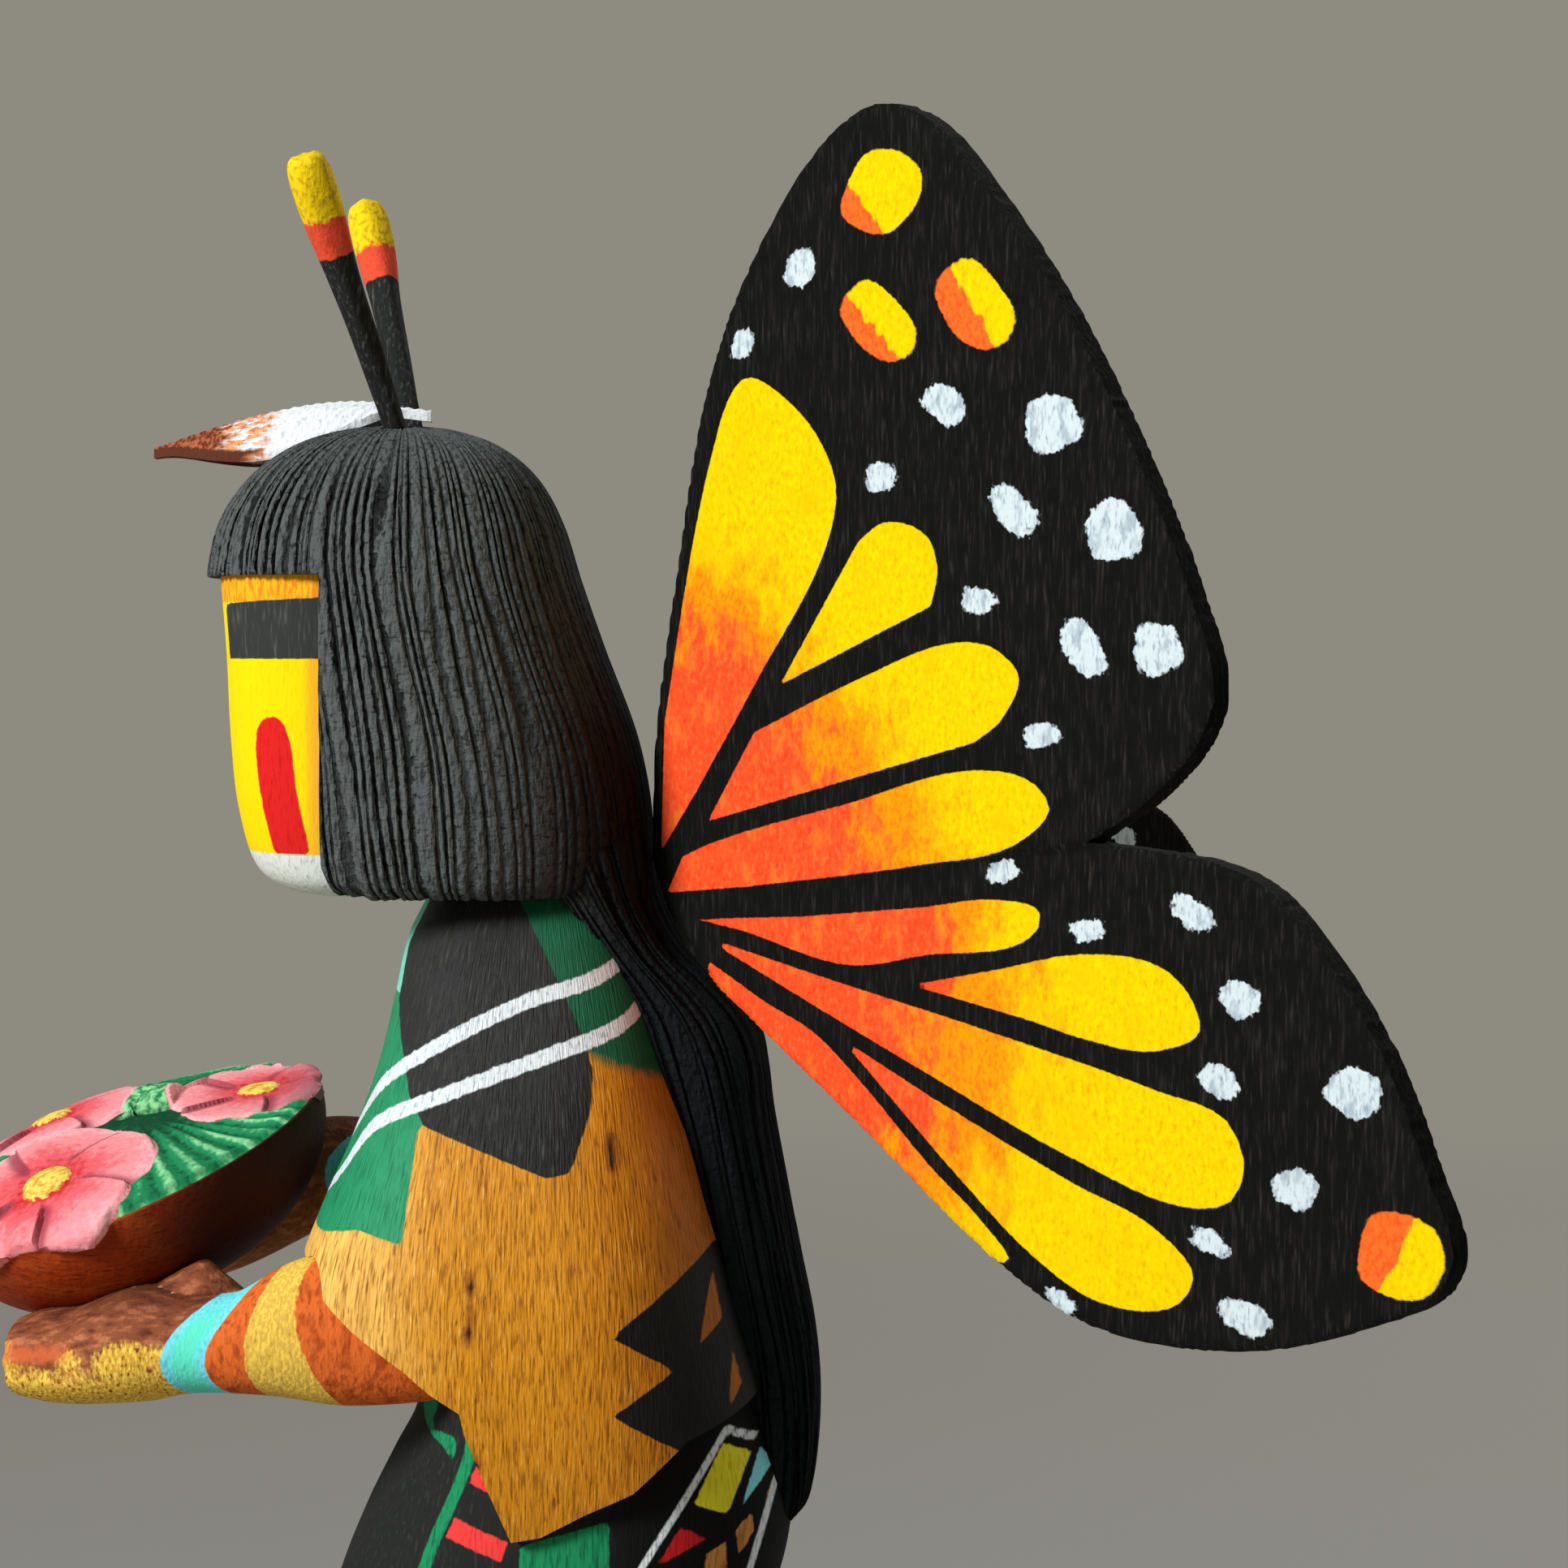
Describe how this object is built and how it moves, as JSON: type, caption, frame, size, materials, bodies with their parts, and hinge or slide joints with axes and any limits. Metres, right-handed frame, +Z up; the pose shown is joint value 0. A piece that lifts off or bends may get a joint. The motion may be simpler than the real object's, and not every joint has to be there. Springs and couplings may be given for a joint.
{
  "type": "kachina doll",
  "caption": "Carved and painted wooden butterfly maiden doll with spread wings, holding a bowl of flowers, standing on a low round base",
  "frame": {"origin": "centre of the base's underside", "axes": "+Z up; the doll faces -Y; its left side is +X"},
  "size_m": [0.1404, 0.1387, 0.2536],
  "materials": {
    "painted_figure": "matte paint over visible grain",
    "painted_wing": "matte paint over visible grain",
    "painted_antenna": "matte paint",
    "painted_feather": "matte paint",
    "painted_bowl": "stain and matte paint",
    "base_wood": "bare wood, sanded"
  },
  "bodies": {
    "root": {"figure": "painted_figure", "left_wing": "painted_wing", "right_wing": "painted_wing", "left_antenna": "painted_antenna", "right_antenna": "painted_antenna", "head_feather": "painted_feather", "flower_bowl": "painted_bowl", "base": "base_wood"}
  },
  "joints": []
}
